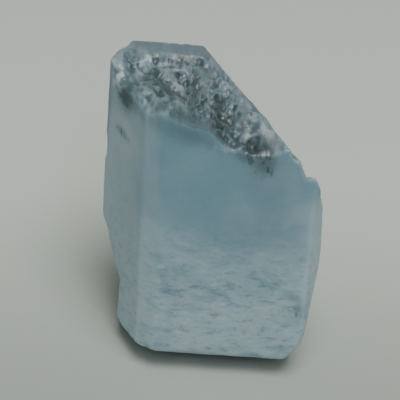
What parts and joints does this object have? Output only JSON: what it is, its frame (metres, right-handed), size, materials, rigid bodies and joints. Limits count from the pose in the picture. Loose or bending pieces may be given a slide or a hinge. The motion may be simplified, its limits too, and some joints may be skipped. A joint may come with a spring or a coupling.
{
  "type": "aquamarine crystal",
  "caption": "Natural pale blue beryl crystal, a stout hexagonal prism broken across at its ends, standing on its low lower break for display.",
  "frame": {"origin": "centre of the bounding box at the level of the flat middle of the lower break", "axes": "+Z is the crystal's long axis, pointing up; -Y is the way the broad prism face looks; +X is to that face's right"},
  "size_m": [0.0372, 0.021, 0.054],
  "materials": {
    "beryl": "hazy etched prism faces and clear glassy breaks"
  },
  "bodies": {
    "root": {"aquamarine_crystal": "beryl"}
  },
  "joints": []
}
